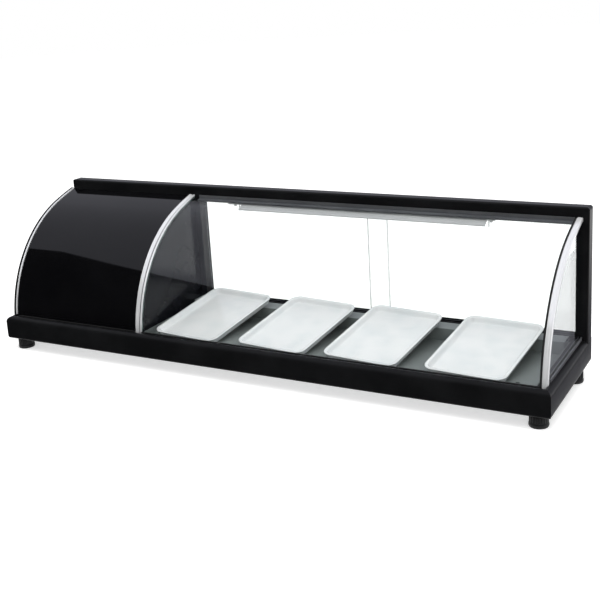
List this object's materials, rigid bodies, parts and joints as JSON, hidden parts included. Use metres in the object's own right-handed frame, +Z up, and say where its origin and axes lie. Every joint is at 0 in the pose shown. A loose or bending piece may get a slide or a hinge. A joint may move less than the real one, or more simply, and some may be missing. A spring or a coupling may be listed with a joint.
{
  "type": "countertop refrigerated bakery display case",
  "caption": "Low black countertop chilled pastry case with curved glass front, chrome mouldings, side machine compartment, sliding rear doors and white plates.",
  "frame": {"origin": "on the counter, under the centre of the case's outline", "axes": "+X along the case with the glazed end at +X and the machine compartment at -X, customer side at -Y, +Z up"},
  "size_m": [1.1, 0.262, 0.3],
  "materials": {
    "black_gloss": "high-gloss black acrylic sheet",
    "black_matte": "matte black moulded plastic",
    "black_satin": "semi-gloss black powder coat",
    "channel_grey": "natural anodised aluminium",
    "chrome_trim": "bright chrome moulding",
    "clear_glass": "clear polished glass",
    "compressor_paint": "black enamel",
    "copper_tube": "drawn copper tube, slightly dull",
    "fin_aluminium": "thin aluminium fins",
    "foam": "rigid insulating foam",
    "foot_plastic": "textured black plastic",
    "galvanised": "galvanised sheet",
    "inner_sheet": "brushed stainless sheet",
    "knob_plastic": "fine-grained black plastic",
    "lamp_plastic": "white diffusing tube",
    "porcelain": "white glaze",
    "screw_steel": "zinc plated steel",
    "seal_rubber": "black rubber seal",
    "shade_aluminium": "satin anodised aluminium",
    "track_aluminium": "black anodised aluminium"
  },
  "bodies": {
    "cabinet": {"bottom_pan": "galvanised", "cable_gland": "black_matte", "compressor_cover": "black_gloss", "compressor_mounts": "seal_rubber", "compressor_shell": "compressor_paint", "condenser_fins": "fin_aluminium", "condenser_tube": "copper_tube", "corner_keys": "galvanised", "cover_arc_trim": "chrome_trim", "curved_front_glass": "clear_glass", "divider_panel": "black_satin", "evaporator_tube": "copper_tube", "fan_motor": "black_matte", "fan_shroud": "black_matte", "filter_drier": "copper_tube", "floor_tray": "inner_sheet", "foam_insulation": "foam", "front_base_rail": "black_satin", "glass_channels": "channel_grey", "glass_seals": "seal_rubber", "lamp_brackets": "shade_aluminium", "lamp_shade": "shade_aluminium", "lamp_tube": "lamp_plastic", "left_arc_trim": "chrome_trim", "left_base_rail": "black_satin", "left_rear_post": "black_satin", "left_side_panel": "black_satin", "lower_door_track": "track_aluminium", "middle_rear_post": "black_satin", "pane_arc_trim": "chrome_trim", "panel_cleats": "galvanised", "panel_screws": "screw_steel", "rear_base_rail": "black_satin", "rear_plate_shelf": "inner_sheet", "rear_service_panel": "black_satin", "refrigerant_pipes": "copper_tube", "right_arc_trim": "chrome_trim", "right_base_rail": "black_satin", "right_rear_post": "black_satin", "side_glass": "clear_glass", "switch_frame": "black_matte", "terminal_box": "black_matte", "thermostat": "black_matte", "top_rail": "black_satin", "upper_door_track": "track_aluminium"},
    "sliding_door_left": {"sliding_door_left": "clear_glass", "door_glides_left": "black_matte"},
    "sliding_door_right": {"sliding_door_right": "clear_glass", "door_glides_right": "black_matte"},
    "foot_front_left": {"foot_front_left": "foot_plastic"},
    "foot_front_right": {"foot_front_right": "foot_plastic"},
    "foot_rear_left": {"foot_rear_left": "foot_plastic"},
    "foot_rear_right": {"foot_rear_right": "foot_plastic"},
    "plate_1": {"plate_1": "porcelain"},
    "plate_2": {"plate_2": "porcelain"},
    "plate_3": {"plate_3": "porcelain"},
    "plate_4": {"plate_4": "porcelain"},
    "fan": {"fan_blades": "black_matte"},
    "thermostat_knob": {"thermostat_knob": "knob_plastic"},
    "lamp_switch": {"lamp_switch_rocker": "black_matte"}
  },
  "joints": [
    {"name": "door_left_slide", "type": "slide", "parent": "cabinet", "child": "sliding_door_left", "axis": [1, 0, 0], "range_m": [0, 0.349]},
    {"name": "door_right_slide", "type": "slide", "parent": "cabinet", "child": "sliding_door_right", "axis": [-1, 0, 0], "range_m": [0, 0.349]},
    {"name": "foot_front_left_height", "type": "slide", "parent": "cabinet", "child": "foot_front_left", "axis": [0, 0, -1], "range_m": [0, 0.012]},
    {"name": "foot_front_right_height", "type": "slide", "parent": "cabinet", "child": "foot_front_right", "axis": [0, 0, -1], "range_m": [0, 0.012]},
    {"name": "foot_rear_left_height", "type": "slide", "parent": "cabinet", "child": "foot_rear_left", "axis": [0, 0, -1], "range_m": [0, 0.012]},
    {"name": "foot_rear_right_height", "type": "slide", "parent": "cabinet", "child": "foot_rear_right", "axis": [0, 0, -1], "range_m": [0, 0.012]},
    {"name": "plate_1_lift", "type": "slide", "parent": "cabinet", "child": "plate_1", "axis": [0, 0.1, 0.995], "range_m": [0, 0.015]},
    {"name": "plate_2_lift", "type": "slide", "parent": "cabinet", "child": "plate_2", "axis": [0, 0.1, 0.995], "range_m": [0, 0.015]},
    {"name": "plate_3_lift", "type": "slide", "parent": "cabinet", "child": "plate_3", "axis": [0, 0.1, 0.995], "range_m": [0, 0.015]},
    {"name": "plate_4_lift", "type": "slide", "parent": "cabinet", "child": "plate_4", "axis": [0, 0.1, 0.995], "range_m": [0, 0.015]},
    {"name": "fan_spin", "type": "hinge", "parent": "cabinet", "child": "fan", "pos_m": [-0.474, 0.02, 0.099], "axis": [1, 0, 0], "continuous": true},
    {"name": "thermostat_turn", "type": "hinge", "parent": "cabinet", "child": "thermostat_knob", "pos_m": [-0.325, 0.118, 0.241], "axis": [0, -1, 0], "range_deg": [0, 270]},
    {"name": "lamp_switch_rock", "type": "hinge", "parent": "cabinet", "child": "lamp_switch", "pos_m": [-0.275, 0.111, 0.241], "axis": [-1, 0, 0], "range_deg": [0, 18]}
  ]
}
